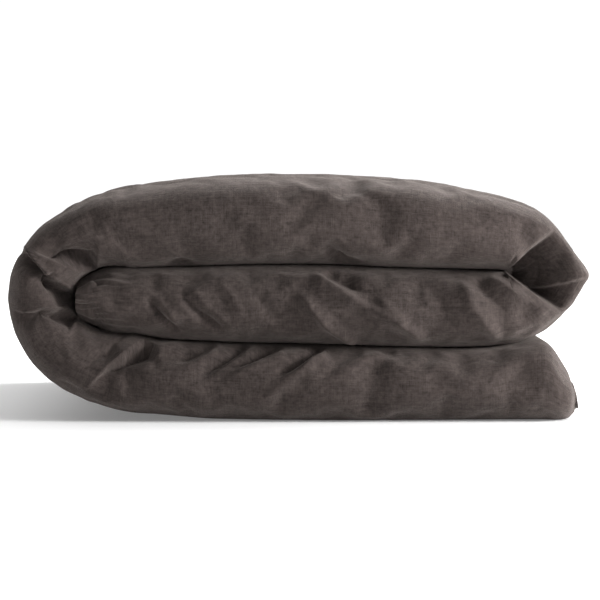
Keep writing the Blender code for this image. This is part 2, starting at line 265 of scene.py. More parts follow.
def outline_point(name, share, half, gap, front_out, front_in, front_y, back_y):
    """(y, n) on the outline. n is outwards from the strip's middle."""
    centre = (half + gap) / 2
    thick = (half - gap) / 2
    edge = min(24.0, thick * 1.25 + 1)
    edge_y = back_y - edge
    if name in ("edge_out", "edge_in", "edge_in_back", "edge_out_back"):
        # from the seam over the rounded edge to the flat, or the other way
        turn = share if name in ("edge_out", "edge_in_back") else 1 - share
        angle = math.radians(90 * turn)
        y = edge_y + edge * math.cos(angle) ** 0.9
        n = thick * math.sin(angle) ** 0.9
        sign = 1 if name in ("edge_out", "edge_in") else -1
        side = 1 if name in ("edge_out", "edge_out_back") else -1
        return y, side * (centre + sign * n)
    if name == "face_out":
        return edge_y + (front_y + front_out - edge_y) * (1 - spread(1 - share)), half
    if name == "face_in":
        return front_y + front_in + (edge_y - front_y - front_in) * spread(share), -half
    if name == "front":
        angle = math.radians(90 + 180 * share)
        s, c = math.sin(angle), abs(math.cos(angle))
        front = front_out if s > 0 else front_in
        return front_y + front * (1 - c), half * s
    bend_y = front_y + half * 0.8
    if name == "back_in":
        return edge_y + (bend_y - edge_y) * share, -gap
    if name == "bend":
        angle = math.radians(270 - 180 * share)
        return bend_y + gap * 0.8 * math.cos(angle), gap * math.sin(angle)
    return bend_y + (edge_y - bend_y) * share, gap


def wander(x, seed, reach):
    """A slow, smooth line of about the given reach."""
    rng = np.random.default_rng(seed)
    total = np.zeros_like(x)
    for wave in (430.0, 250.0, 140.0, 83.0):
        total += rng.uniform(0.4, 1) * (wave / 430) ** 0.8 * np.sin(2 * np.pi * x / wave + rng.uniform(0, 6.3))
    return reach * total / 1.6


def strip_grid(rows, places):
    """The cover's grid of points, in millimetres: stations by outline points by XYZ."""
    grid = np.zeros((len(rows), len(OUTLINE), 3))
    front = -HALF_DEPTH + 3 + wander(places, 3, 2.6)
    back = HALF_DEPTH + 1.5 + wander(places, 5, 1.6)
    for i, (ox, oz, ix, iz, gap, front_out, front_in, push) in enumerate(rows):
        outer, inner = np.array([ox, oz]), np.array([ix, iz])
        middle, across = (outer + inner) / 2, outer - inner
        half = np.linalg.norm(across) / 2
        across = across / (2 * half)
        gap = min(gap, half - 0.7)
        for j, (name, share) in enumerate(OUTLINE):
            y, n = outline_point(name, share, half, gap, front_out, front_in, front[i] + push, back[i])
            grid[i, j] = (middle[0] + across[0] * n, y, middle[1] + across[1] * n)
    return grid


def grid_normals(grid):
    """Outward normals. The outline closes on itself and the strip's ends are open."""
    along = np.gradient(grid, axis=0)
    around = (np.roll(grid, -1, axis=1) - np.roll(grid, 1, axis=1)) / 2
    normal = np.cross(around, along)
    return normal / np.maximum(np.linalg.norm(normal, axis=2, keepdims=True), 1e-9)


# ---- Cloth simulation -------------------------------------------------------------------------------------------


def grid_faces(rows, columns, start=0):
    faces = []
    for i in range(rows - 1):
        for j in range(columns):
            k = (j + 1) % columns
            faces.append((start + i * columns + j, start + i * columns + k,
                          start + (i + 1) * columns + k, start + (i + 1) * columns + j))
    return faces


def flip_needed(grid):
    """Whether the grid's faces, in the order above, point inwards."""
    middle = grid.shape[0] // 8
    j = OUTLINE.index(("face_out", 0.5))
    a, b, c = grid[middle, j], grid[middle, j + 1], grid[middle + 1, j]
    return np.cross(b - a, c - a)[2] > 0


SIM_FRAMES = 18
PIN_LEVELS = 10
SPARE_CLOTH = 0.03
PUFF_PRESSURE = 2.2
PUFF_CAP = 6.0  # the furthest that the simulation may move a free point


def simulate(grid, weight):
    """Puffs the coarse grid up with pressure and a little spare cloth, held at the pinned points."""
    rows, columns = grid.shape[:2]
    mesh = bpy.data.meshes.new("cloth")
    faces = grid_faces(rows, columns)
    if flip_needed(grid):
        faces = [f[::-1] for f in faces]
    mesh.from_pydata((grid * MM).reshape(-1, 3).tolist(), [], faces)
    cloth = bpy.data.objects.new("cloth", mesh)
    bpy.context.scene.collection.objects.link(cloth)
    pins = cloth.vertex_groups.new(name="pins")
    flat = weight.reshape(-1)
    for level in range(1, PIN_LEVELS + 1):
        chosen = np.nonzero(np.round(flat * PIN_LEVELS).astype(int) == level)[0]
        pins.add(chosen.tolist(), level / PIN_LEVELS, "REPLACE")
    modifier = cloth.modifiers.new("Cloth", "CLOTH")
    settings = modifier.settings
    settings.quality = 6
    settings.mass = 0.25
    settings.air_damping = 3
    settings.tension_stiffness = 18
    settings.compression_stiffness = 18
    settings.shear_stiffness = 6
    settings.bending_stiffness = 0.35
    settings.shrink_min = -SPARE_CLOTH
    settings.use_pressure = True
    settings.uniform_pressure_force = PUFF_PRESSURE
    settings.effector_weights.gravity = 0
    settings.vertex_group_mass = "pins"
    settings.pin_stiffness = 1.2
    modifier.collision_settings.use_collision = False
    scene = bpy.context.scene
    for number in range(1, SIM_FRAMES + 1):
        scene.frame_set(number)
    settled = cloth.evaluated_get(bpy.context.evaluated_depsgraph_get())
    points = np.empty(rows * columns * 3)
    settled.data.vertices.foreach_get("co", points)
    scene.frame_set(1)
    bpy.data.objects.remove(cloth)
    bpy.data.meshes.remove(mesh)
    return points.reshape(rows, columns, 3) / MM - grid


def refine(delta, rows, columns):
    """The coarse grid's moves at every point of the fine grid."""
    fine = np.zeros((rows, columns, 3))
    fine[::2, ::2] = delta
    fine[::2, 1::2] = (delta + np.roll(delta, -1, axis=1)) / 2
    fine[1::2] = (fine[0:-1:2] + fine[2::2]) / 2
    for _ in range(2):
        fine = (np.roll(fine, 1, axis=1) + 2 * fine + np.roll(fine, -1, axis=1)) / 4
        fine[1:-1] = (fine[:-2] + 2 * fine[1:-1] + fine[2:]) / 4
    return fine


# ---- Creases ----------------------------------------------------------------------------------------------------


def polyline_distance(x, z, points):
    """Signed distance to a line of points and the share of the way along it. Positive is to its left."""
    best = np.full(x.shape, 1e9)
    side = np.zeros(x.shape)
    share = np.zeros(x.shape)
    lengths = [math.dist(a, b) for a, b in zip(points, points[1:])]
    total, gone = sum(lengths), 0.0
    for (ax, az), (bx, bz), length in zip(points, points[1:], lengths):
        dx, dz = (bx - ax) / length, (bz - az) / length
        along = np.clip((x - ax) * dx + (z - az) * dz, 0, length)
        px, pz = x - ax - dx * along, z - az - dz * along
        distance = np.hypot(px, pz)
        near = distance < best
        best = np.where(near, distance, best)
        side = np.where(near, np.sign(dx * pz - dz * px), side)
        share = np.where(near, (gone + along) / total, share)
        gone += length
    return best * side, share


def crease(field, x, z, points, depth, left, right, start=0.15, end=0.15, lip=0.0):
    """Adds a groove (depth above 0) or a ridge along a line, with its own width on each side, fading at its ends."""
    distance, share = polyline_distance(x, z, points)
    width = np.where(distance > 0, left, right)
    fade = smoothstep(0, start, share) if start else 1
    fade = fade * (1 - smoothstep(1 - end, 1, share) if end else 1)
    shape = np.exp(-((np.abs(distance) / width) ** 1.5))
    if lip:
        side = 1 if lip > 0 else -1
        offset = distance * side - 1.6 * (left if side > 0 else right)
        shape = shape - abs(lip) * np.exp(-((offset / (0.9 * (left if side > 0 else right))) ** 2))
    field -= depth * shape * fade


def front_creases(x, z):
    """How far the front's skin moves outwards, by X and Z."""
    f = np.zeros(x.shape)
    # the big fold's creases, out from its eye
    crease(f, x, z, [(-236, 177), (-255, 181), (-272, 188), (-299, 200), (-312, 208)], 19, 3, 14, 0.05, 0.4, 0.12)
    second = [(-262, 143), (-272, 153), (-284, 162), (-293, 169), (-303, 180), (-326, 203)]
    crease(f, x, z, second, 19, 9, 2.6, 0.02, 0.2, -0.3)
    crease(f, x, z, [(-270, 152), (-281, 158), (-292, 171)], 15, 3, 6, 0.2, 0.2)
    crease(f, x, z, [(-258, 121), (-275, 128), (-293, 129.5), (-314, 124), (-334, 128)], 14, 9, 2.6, 0.02, 0.3, -0.3)
    lowest = [(-172, 92), (-183, 87), (-202, 75), (-217, 63), (-233, 47), (-245, 32)]
    crease(f, x, z, lowest, 15, 15, 3, 0.02, 0.5, -0.2)
    crease(f, x, z, [(-205, 84), (-228, 80), (-252, 66)], 4, 8, 8, 0.3, 0.4)
    # the middle layer's drag lines
    crease(f, x, z, [(-177, 150), (-165, 128), (-151, 112), (-136, 104)], 6.5, 6, 4, 0.3, 0.3, 0.5)
    crease(f, x, z, [(-140, 156), (-117, 128), (-92, 108), (-80, 102)], 5.5, 7, 4, 0.3, 0.3, 0.5)
    crease(f, x, z, [(-95, 163), (-79, 147), (-66, 122)], -4.5, 6, 6, 0.3, 0.4)
    crease(f, x, z, [(-58, 160), (-38, 133), (-16, 108)], 3.5, 9, 6, 0.3, 0.3)
    crease(f, x, z, [(-4, 156), (13, 133), (31, 114), (55, 99), (74, 91)], -6.5, 7, 5, 0.25, 0.15)
    crease(f, x, z, [(12, 172), (43, 154), (76, 135), (109, 122), (136, 105), (152, 92)], -7, 5, 10, 0.12, 0.15)
    crease(f, x, z, [(30, 176), (60, 160), (92, 145)], 6, 6, 9, 0.1, 0.5)
    crease(f, x, z, [(84, 150), (103, 133), (130, 114)], -4, 6, 6, 0.3, 0.3)
    crease(f, x, z, [(186, 168), (200, 132), (221, 109), (238, 96)], -6, 9, 7, 0.25, 0.2)
    crease(f, x, z, [(205, 170), (222, 146), (246, 120)], 5, 9, 8, 0.2, 0.4)
    crease(f, x, z, [(150, 162), (168, 130), (186, 106)], 4, 9, 7, 0.3, 0.3)
    crease(f, x, z, [(211, 169), (231, 159), (264, 142), (292, 122)], -5, 7, 7, 0.2, 0.3)
    # the lower layer's short drag lines, down from the crevice
    crease(f, x, z, [(-20, 90), (-45, 80), (-79, 66), (-96, 60)], 7, 6, 3.5, 0.05, 0.4, 0.5)
    crease(f, x, z, [(28, 89), (7, 77), (-12, 64), (-34, 52)], 7, 6, 3.5, 0.05, 0.4, 0.5)
    crease(f, x, z, [(26, 84), (12, 66), (-8, 50), (-34, 34), (-58, 20)], -4, 8, 6, 0.2, 0.4)
    crease(f, x, z, [(-62, 90), (-83, 76), (-104, 62), (-124, 50)], 6, 6, 4, 0.05, 0.4, 0.4)
    crease(f, x, z, [(-100, 92), (-122, 80), (-148, 68)], 5, 6, 4, 0.05, 0.4, 0.4)
    crease(f, x, z, [(-134, 94), (-160, 84), (-182, 62)], -4, 7, 7, 0.2, 0.4)
    crease(f, x, z, [(70, 88), (44, 70), (14, 40)], 4, 8, 6, 0.1, 0.5)
    crease(f, x, z, [(112, 86), (92, 70), (70, 46)], 3, 9, 7, 0.1, 0.5)
    crease(f, x, z, [(160, 85), (146, 72), (128, 54)], 3, 8, 7, 0.1, 0.5)
    # where the upper layer's lower edge lifts
    crease(f, x, z, [(-162, 180), (-136, 184), (-108, 179)], 7, 4, 5, 0.4, 0.4)
    crease(f, x, z, [(34, 187), (52, 186), (84, 179)], 8, 4, 6, 0.3, 0.4)
    crease(f, x, z, [(52, 183), (40, 194), (30, 214)], 5, 6, 8, 0.2, 0.6)
    crease(f, x, z, [(-300, 205), (-270, 222), (-232, 232)], 3, 12, 12, 0.3, 0.4)
    return f


# ---- The cover --------------------------------------------------------------------------------------------------


OUTSIDE = ("edge_out", "face_out", "front", "face_in", "edge_in")
CREASE_SCALE = 1.45  # on every depth in front_creases
TUCK_TOP, TUCK_BOTTOM = 42.0, -36.5  # degrees above the horizontal
PLEAT = [(250, 150), (272, 154.4), (288, 155.6), (312, 161.5), (337, 169.1)]


def part_mask(names):
    return np.array([name in names for name, _ in OUTLINE])


def outward(grid):
    """The grid's normals, on the outside of the cover."""
    normal = grid_normals(grid)
    if normal[len(grid) // 8, OUTLINE.index(("face_out", 0.5))][2] > 0:
        normal = -normal
    return normal


def sag_closed_end(grid):
    """The lower layer's two halves droop at the closed end, and its front corner rounds off."""
    x, y, z = grid[..., 0], grid[..., 1], grid[..., 2]
    drop = smoothstep(282, 322, x) * (z < 100)
    fall = np.interp(z, [0, 22, 43, 45, 66, 92], [0, 7, 11, 12, 21, 22])
    grid[..., 2] = z - drop * fall
    grid[..., 1] = y + (14 * drop**2 + 26 * smoothstep(314, 323, x) * (z < 100)) * smoothstep(-240, -340, y)


def tuck_end_fold(grid):
    """Pushes the front of the end fold in between its two tucks, with a pleat across."""
    x, y, z = grid[..., 0], grid[..., 1], grid[..., 2]
    dx, dz = x - CREASE_END[0], z - CREASE_END[1]
    radius, angle = np.hypot(dx, dz), np.degrees(np.arctan2(dz, dx))
    across_top = radius * np.radians(TUCK_TOP - angle)
    across_bottom = radius * np.radians(angle - TUCK_BOTTOM)
    inside = smoothstep(-1.2, 1.6, across_top) * smoothstep(-1.2, 1.6, across_bottom) * (dx > 0)
    depth = np.interp(radius, [0, 12, 40, 62, 80, 95], [30, 64, 60, 38, 15, 0])
    shade, _ = polyline_distance(x, z, PLEAT)
    under = smoothstep(1.5, -2.5, shade) * np.interp(radius, [0, 20, 45, 70, 96], [0, 6, 14, 11, 4])
    valley, share = polyline_distance(x, z, [(306, 200), (303, 186), (300, 172)])
    under = under + 3.5 * np.exp(-((valley / 7) ** 2)) * np.sin(np.pi * share)
    pushed = inside * (depth + under) * smoothstep(-270, -310, y)
    # the layers above and below round off into the tucks
    roll_in = 9 * np.exp(-np.maximum(-across_top, 0) / 6) + 9 * np.exp(-np.maximum(-across_bottom, 0) / 6)
    roll_in = roll_in * (1 - inside) * smoothstep(8, 30, radius) * smoothstep(88, 50, radius)
    grid[..., 1] = y + pushed + roll_in * smoothstep(0, 32, dx) * smoothstep(-290, -330, y)


PLUG_SWELL = 5.5  # how far the full corner presses into the eye, behind its visible front
PUCKER_DEPTH, PUCKER_REACH = 2.2, 11.0  # the gathers at the buttoned end; the reach is in stations
GROUND = 0.15


def build_cover_grid():
    """The cover's points, each section's first and last station, and the stations' places along the strip."""
    rows, spans, places = resample(True)
    thin_rows, _, _ = resample(False)
    grid, thin = strip_grid(rows, places), strip_grid(thin_rows, places)
    # the buttoned end is full only at its front corner, which plugs the big fold's eye
    full = smoothstep(PLUG_BACK, PLUG_FRONT, grid[..., 1])[..., None]
    grid = thin + (grid - thin) * full
    shape = grid.shape[:2]
    normal = outward(grid)
    x, y, z = grid[..., 0], grid[..., 1], grid[..., 2]
    tip = smoothstep(TIP_START + 10, TIP_START - 25, x) * (np.arange(shape[0]) > spans["roll"][0])[:, None]
    plug = PLUG_SWELL * tip * smoothstep(-312, -286, y) * smoothstep(PLUG_BACK, PLUG_FRONT, y)
    grid = grid + normal * (plug * part_mask(OUTSIDE)[None, :])[..., None]
    x, y, z = grid[..., 0], grid[..., 1], grid[..., 2]
    free = freedom(x, y, z, normal, spans, shape)
    delta = simulate(grid[::2, ::2], 1 - free[::2, ::2])
    length = np.linalg.norm(delta, axis=2, keepdims=True)
    cap = (PUFF_CAP * free[::2, ::2])[..., None]
    delta = delta * np.minimum(1, cap / np.maximum(length, 1e-6))
    grid = grid + refine(delta, *shape)
    x, y, z = grid[..., 0], grid[..., 1], grid[..., 2]
    facing = smoothstep(0.0, 0.55, -normal[..., 1]) * (y < -200)
    moved = CREASE_SCALE * front_creases(x, z) * facing * (1 - tip)
    inner_end = spans["roll"][1] - np.arange(shape[0])
    pucker = np.exp(-((inner_end / PUCKER_REACH) ** 2))[:, None] * facing
    moved += PUCKER_DEPTH * pucker * np.sin(z * 0.9 + 1.3 * np.sin(x * 0.12))
    grid = grid + normal * moved[..., None]
    tuck_end_fold(grid)
    sag_closed_end(grid)
    # nothing reaches below the ground
    grid[..., 2] = np.maximum(grid[..., 2], GROUND)
    return grid, spans, places


def freedom(x, y, z, normal, spans, shape):
    """How free each point is to move in the simulation: 0 where layers touch, 1 on the open front, top and edges."""
    front = smoothstep(-300, -325, y)
    back = smoothstep(300, 335, y) * 0.7
    free = np.maximum(front, back)
    outside = part_mask(("edge_out", "face_out", "front"))[None, :]
    station = np.arange(shape[0])[:, None]
    fold_out = (station > spans["fold_0"][0] + 6) & outside
    upper = (normal[..., 2] > 0.4) & (z > 230) & outside
    side = (np.abs(normal[..., 0]) > 0.35) & (fold_out | (x > 290)) & outside
    free = np.where(upper | side, np.maximum(free, 0.85), free)
    ends = np.minimum(station, shape[0] - 1 - station)
    free = free * smoothstep(0, 14, ends)
    hidden = part_mask(("back_in", "bend", "back_out", "edge_in_back", "edge_out_back"))[None, :]
    free = np.where(hidden, free * 0.15, free)
    for _ in range(4):
        free = (np.roll(free, 1, axis=1) + 2 * free + np.roll(free, -1, axis=1)) / 4
        free[1:-1] = (free[:-2] + 2 * free[1:-1] + free[2:]) / 4
    return free


def zip_ring(ring):
    """Triangles between the outer and the inner half of an end ring."""
    inner_first = OUTLINE.index(("edge_in_back", 0.0))
    outer = list(range(inner_first + 1))
    inner = [0, *range(len(OUTLINE) - 1, inner_first - 1, -1)]
    i = j = 0
    triangles = []
    while i < len(outer) - 1 or j < len(inner) - 1:
        can_outer, can_inner = i < len(outer) - 1, j < len(inner) - 1
        if can_outer and can_inner:
            ahead = np.linalg.norm(ring[outer[i + 1]] - ring[inner[j]])
            behind = np.linalg.norm(ring[outer[i]] - ring[inner[j + 1]])
            can_inner = behind <= ahead
        if can_inner:
            face = (outer[i], inner[j + 1], inner[j])
            j += 1
        else:
            face = (outer[i], outer[i + 1], inner[j])
            i += 1
        if len(set(face)) == 3:
            triangles.append(face)
    return triangles


def cut_piece(name, grid, normal, first, last, caps=()):
    """A mesh from station first to station last, shaded with the whole grid's normals."""
    rows, columns = last - first + 1, grid.shape[1]
    part = grid[first:last + 1]
    faces = grid_faces(rows, columns)
    if FLIPPED:
        faces = [f[::-1] for f in faces]
    for cap in caps:
        start = 0 if cap == "first" else (rows - 1) * columns
        strip = zip_ring(part[0 if cap == "first" else -1])
        turned = (cap == "first") == FLIPPED
        faces += [tuple(start + k for k in (face if turned else face[::-1])) for face in strip]
    mesh = bpy.data.meshes.new(name)
    mesh.from_pydata((part * MM).reshape(-1, 3).tolist(), [], faces)
    mesh.shade_smooth()
    normals = normal[first:last + 1].reshape(-1, 3)
    uv = mesh.uv_layers.new(name="cloth")
    coordinates = CLOTH_UV[first:last + 1].reshape(-1, 2)
    index = np.empty(len(mesh.loops), int)
    mesh.loops.foreach_get("vertex_index", index)
    values = coordinates[index]
    # the last column of faces closes the loop, so its far side takes the full girth
    wrap = index % columns == 0
    polygon_of = np.repeat(np.arange(len(mesh.polygons)), [p.loop_total for p in mesh.polygons])
    closing_face = (polygon_of < (rows - 1) * columns) & (polygon_of % columns == columns - 1)
    values[wrap & closing_face, 1] = GIRTH
    uv.data.foreach_set("uv", values.reshape(-1))
    mesh.normals_split_custom_set_from_vertices(normals.tolist())
    made = bpy.data.objects.new(name, mesh)
    bpy.context.scene.collection.objects.link(made)
    return made


# ---- The buttoned hems ------------------------------------------------------------------------------------------

HEM_FRONT, HEM_BACK = -276.0, 349.0
HEM_STATIONS = 210
UNDER_HEM, OVER_HEM = (0.5, 1.8), (2.1, 3.5)  # from the hems' level, to their near and far side
STITCH_LENGTH, STITCH_PITCH, STITCH_RADIUS = 2.5, 3.7, 0.28


def hem_edge(y, seed):
    """A hem's outer edge waves a little."""
    return HEM_EDGE + 0.5 + wander(y, seed, 0.9)


def add_ring_tube(shape, rings):
    """A closed skin through matching rings of points, in millimetres."""
    made = [[shape.verts.new(Vector(p) * MM) for p in ring] for ring in rings]
    count = len(made[0])
    for a, b in zip(made, made[1:]):
        for k in range(count):
            shape.faces.new((a[k], a[(k + 1) % count], b[(k + 1) % count], b[k]))
    shape.faces.new(made[0][::-1])
    shape.faces.new(made[-1])


def hem_band(shape, near, far, seed):
    """One turned hem: a long flat band with rounded edges and a thicker fold along its outer edge."""
    y = np.linspace(HEM_FRONT, HEM_BACK, HEM_STATIONS)
    edge = hem_edge(y, seed)
    side = 1 if far > 0 else -1
    bulge = 0.12 * np.sin(y / 7.3 + seed) * np.sin(y / 23.0)
    rings = []
    for place, outer, lift in zip(y, edge, bulge):
        low, high = near, far + side * lift
        middle = (low + high) / 2
        profile = [(HEM_ROOT - 0.2, low), (HEM_ROOT - 0.6, high), (-231.2, high - 0.25 * side), (-233.0, high),
                   (-241.0, high), (-249.6, high), (-251.2, high - 0.25 * side), (outer + 0.5, high), (outer, middle),
                   (outer + 0.5, low), (-241.0, low)]
        rings.append([(x, place, HEM_LEVEL + z) for x, z in profile])
    add_ring_tube(shape, rings)


def stitch_row(shape, x, side, seed):
    """Short raised stitches in a hem's stitched channel."""
    rng = np.random.default_rng(seed)
    for start in np.arange(HEM_FRONT + 3, HEM_BACK - 4, STITCH_PITCH):
        sway = rng.uniform(-0.12, 0.12)
        rings = []
        for share in (0.0, 0.3, 0.7, 1.0):
            thick = STITCH_RADIUS * (0.45 + 0.55 * math.sin(math.pi * share))
            centre = (x + sway, start + STITCH_LENGTH * share, HEM_LEVEL + side * (OVER_HEM[1] - 0.22))
            rings.append([(centre[0] + thick * math.cos(t), centre[1], centre[2] + thick * math.sin(t))
                          for t in np.linspace(0, 2 * math.pi, 7)[:-1]])
        add_ring_tube(shape, rings)


def add_mesh_piece(name, build, material):
    shape = bmesh.new()
    build(shape)
    bmesh.ops.recalc_face_normals(shape, faces=shape.faces[:])
    mesh = bpy.data.meshes.new(name)
    uv = shape.loops.layers.uv.new("cloth")
    for face in shape.faces:
        for corner in face.loops:
            corner[uv].uv = (corner.vert.co.x + corner.vert.co.z, corner.vert.co.y)
    shape.to_mesh(mesh)
    shape.free()
    mesh.shade_smooth()
    mesh.materials.append(material)
    made = bpy.data.objects.new(name, mesh)
    bpy.context.scene.collection.objects.link(made)
    return made


def over_hems(shape):
    hem_band(shape, OVER_HEM[0], OVER_HEM[1], 21)
    hem_band(shape, -OVER_HEM[0], -OVER_HEM[1], 21)


def under_hems(shape):
    hem_band(shape, UNDER_HEM[0], UNDER_HEM[1], 22)
    hem_band(shape, -UNDER_HEM[0], -UNDER_HEM[1], 22)


def hem_stitches(shape):
    for side in (1, -1):
        for number, x in enumerate((-231.2, -251.2)):
            stitch_row(shape, x, side, 30 + number)


# ---- Materials --------------------------------------------------------------------------------------------------


class Nodes:
    """Short calls for a material's nodes."""

    def __init__(self, name):
        self.material = bpy.data.materials.new(name)
        self.material.use_nodes = True
        self.tree = self.material.node_tree
        self.shader = self.tree.nodes["Principled BSDF"]

    def add(self, kind, values=None, **settings):
        made = self.tree.nodes.new(kind)
        for key, value in settings.items():
            setattr(made, key, value)
        for key, value in (values or {}).items():
            self.put(made.inputs[key], value)
        return made

    def put(self, socket, value):
        if isinstance(value, bpy.types.NodeSocket):
            self.tree.links.new(value, socket)
        else:
            socket.default_value = value

    def mix(self, factor, first, second, blend="MIX"):
        made = self.add("ShaderNodeMix", data_type="RGBA", blend_type=blend)
        self.put(made.inputs[0], factor)
        self.put(made.inputs[6], first)
        self.put(made.inputs[7], second)
        return made.outputs[2]

    def math(self, operation, first, second=0.0, clamp=False):
        made = self.add("ShaderNodeMath", operation=operation, use_clamp=clamp)
        self.put(made.inputs[0], first)
        self.put(made.inputs[1], second)
        return made.outputs[0]

    def ramp(self, factor, low, high, from_low=0.0, from_high=1.0):
        made = self.add("ShaderNodeMapRange", {"Value": factor, "From Min": from_low, "From Max": from_high,
                                               "To Min": low, "To Max": high})
        return made.outputs[0]


def linen(name, dark, light, weave=1400.0):
    """Slubby woven linen. The cloth's own coordinates are metres along and round the strip."""
    n = Nodes(name)
    uv = n.add("ShaderNodeUVMap", uv_map="cloth").outputs[0]
    parts = n.add("ShaderNodeSeparateXYZ", {0: uv})
    u, v = parts.outputs[0], parts.outputs[1]

    def threads(across, along, scale_along, scale_across, detail=2.0):
        """Noise drawn out along one thread direction."""
        vector = n.add("ShaderNodeCombineXYZ", {0: n.math("MULTIPLY", along, scale_along),
                                                1: n.math("MULTIPLY", across, scale_across), 2: 0.0})
        return n.add("ShaderNodeTexNoise", {"Vector": vector.outputs[0], "Scale": 1.0, "Detail": detail,
                                            "Roughness": 0.6}).outputs[0]

    warp = threads(v, u, 70.0, 900.0)
    weft = threads(u, v, 80.0, 820.0)
    slub = threads(v, u, 16.0, 420.0, 3.0)
    slub_across = threads(u, v, 20.0, 380.0, 3.0)
    cloudy = n.add("ShaderNodeTexNoise", {"Vector": uv, "Scale": 7.0, "Detail": 3.0}).outputs[0]
    mottle = n.add("ShaderNodeTexNoise", {"Vector": uv, "Scale": 150.0, "Detail": 4.0, "Roughness": 0.7}).outputs[0]
    yarn = n.math("ADD", n.math("MULTIPLY", warp, 0.5), n.math("MULTIPLY", weft, 0.5))
    tone = n.math("ADD", n.ramp(yarn, -0.22, 0.30, 0.3, 0.7), n.ramp(slub, -0.09, 0.13, 0.3, 0.7))
    tone = n.math("ADD", tone, n.ramp(slub_across, -0.07, 0.10, 0.3, 0.7))
    tone = n.math("ADD", tone, n.ramp(cloudy, -0.13, 0.14, 0.3, 0.7))
    tone = n.math("ADD", tone, n.ramp(mottle, -0.30, 0.36, 0.3, 0.7))
    tone = n.math("ADD", tone, 0.42, clamp=True)
    n.put(n.shader.inputs["Base Color"], n.mix(tone, dark, light))
    # plain weave: two crossed ripples, one thread up and one down
    ripple_u = n.math("SINE", n.math("MULTIPLY", u, weave * math.pi))
    ripple_v = n.math("SINE", n.math("MULTIPLY", v, weave * math.pi))
    woven = n.math("MULTIPLY", ripple_u, ripple_v)
    height = n.math("ADD", n.math("MULTIPLY", woven, 0.16), n.math("MULTIPLY", yarn, 1.0))
    height = n.math("ADD", height, n.math("MULTIPLY", slub, 0.5))
    bump = n.add("ShaderNodeBump", {"Strength": 0.85, "Distance": 0.0008, "Height": height})
    crumple = n.add("ShaderNodeTexNoise", {"Vector": uv, "Scale": 26.0, "Detail": 4.0, "Distortion": 0.6}).outputs[0]
    soft = n.add("ShaderNodeBump", {"Strength": 0.55, "Distance": 0.005, "Height": crumple,
                                    "Normal": bump.outputs[0]})
    n.put(n.shader.inputs["Normal"], soft.outputs[0])
    n.put(n.shader.inputs["Roughness"], n.ramp(yarn, 0.82, 0.96, 0.3, 0.7))
    n.shader.inputs["Specular IOR Level"].default_value = 0.14
    n.shader.inputs["Sheen Weight"].default_value = 0.16
    n.shader.inputs["Sheen Roughness"].default_value = 0.45
    n.shader.inputs["Sheen Tint"].default_value = (0.9, 0.78, 0.72, 1)
    return n.material


def tape_cloth():
    """Close woven cotton tape."""
    n = Nodes("cotton_tape")
    where = n.add("ShaderNodeTexCoord").outputs["Object"]
    fine = n.add("ShaderNodeTexNoise", {"Vector": where, "Scale": 900.0, "Detail": 2.0}).outputs[0]
    broad = n.add("ShaderNodeTexNoise", {"Vector": where, "Scale": 14.0, "Detail": 3.0}).outputs[0]
    tone = n.math("ADD", n.math("MULTIPLY", fine, 0.5), n.math("MULTIPLY", broad, 0.5))
    n.put(n.shader.inputs["Base Color"], n.mix(tone, (0.72, 0.69, 0.63, 1), (0.88, 0.86, 0.82, 1)))
    woven = n.add("ShaderNodeBump", {"Strength": 0.4, "Distance": 0.0004, "Height": fine})
    n.put(n.shader.inputs["Normal"], woven.outputs[0])
    n.shader.inputs["Roughness"].default_value = 0.85
    return n.material


def horn():
    """The buttons' brown, faintly clouded horn."""
    n = Nodes("button_horn")
    where = n.add("ShaderNodeTexCoord").outputs["Object"]
    cloud = n.add("ShaderNodeTexNoise", {"Vector": where, "Scale": 160.0, "Detail": 4.0, "Distortion": 1.5}).outputs[0]
    colour = n.mix(n.ramp(cloud, 0, 1, 0.35, 0.65), (0.035, 0.022, 0.016, 1), (0.16, 0.105, 0.07, 1))
    n.put(n.shader.inputs["Base Color"], colour)
    n.put(n.shader.inputs["Roughness"], n.ramp(cloud, 0.3, 0.5))
    return n.material


# A pale floor with painted light: it glows, and glows more towards the back.
def glowing_paper(name, colour):
    n = Nodes(name)
    where = n.add("ShaderNodeTexCoord").outputs["Object"]
    n.shader.inputs["Emission Color"].default_value = (1, 1, 1, 1)
    behind = n.add("ShaderNodeSeparateXYZ", {0: where}).outputs[1]
    # painted light: the floor's glow rises from 0.17 up to 0.5 m behind the middle to 0.65 at 2.2 m, standing in for
    # lamp light that falls off towards the back; being unshadowed, it also lightens the object's shadow on the floor
    n.put(n.shader.inputs["Emission Strength"], n.ramp(behind, 0.17, 0.65, 0.5, 2.2))
    grain = n.add("ShaderNodeTexNoise", {"Vector": where, "Scale": 3.0, "Detail": 2.0}).outputs[0]
    low = tuple(c * 0.99 for c in colour[:3]) + (1,)
    n.put(n.shader.inputs["Base Color"], n.mix(grain, low, colour))
    n.shader.inputs["Roughness"].default_value = 0.9
    return n.material


# ---- Camera, lights and floor -----------------------------------------------------------------------------------


def look_at(item, target):
    item.rotation_euler = (Vector(target) - item.location).to_track_quat("-Z", "Y").to_euler()


def add_camera():
    data = bpy.data.cameras.new("camera")
    camera = bpy.data.objects.new("camera", data)
    bpy.context.scene.collection.objects.link(camera)
    distance, elevation = 3.4, math.radians(2.3)
    target = Vector((0.001, 0, 0.1285))
    camera.location = target + distance * Vector((0, -math.cos(elevation), math.sin(elevation)))
    look_at(camera, target)
    data.sensor_width = 36
    # the front, where the object is widest in view, is 0.3 m nearer than the target
    data.lens = 36 * (distance - 0.30) / 0.7005
    data.clip_end = 50
    bpy.context.scene.camera = camera


def area_light(name, place, target, size, power, colour=(1, 1, 1)):
    data = bpy.data.lights.new(name, "AREA")
    data.shape = "RECTANGLE"
    data.size, data.size_y = size
    data.energy = power
    data.color = colour
    lamp = bpy.data.objects.new(name, data)
    lamp.location = place
    look_at(lamp, target)
    bpy.context.scene.collection.objects.link(lamp)


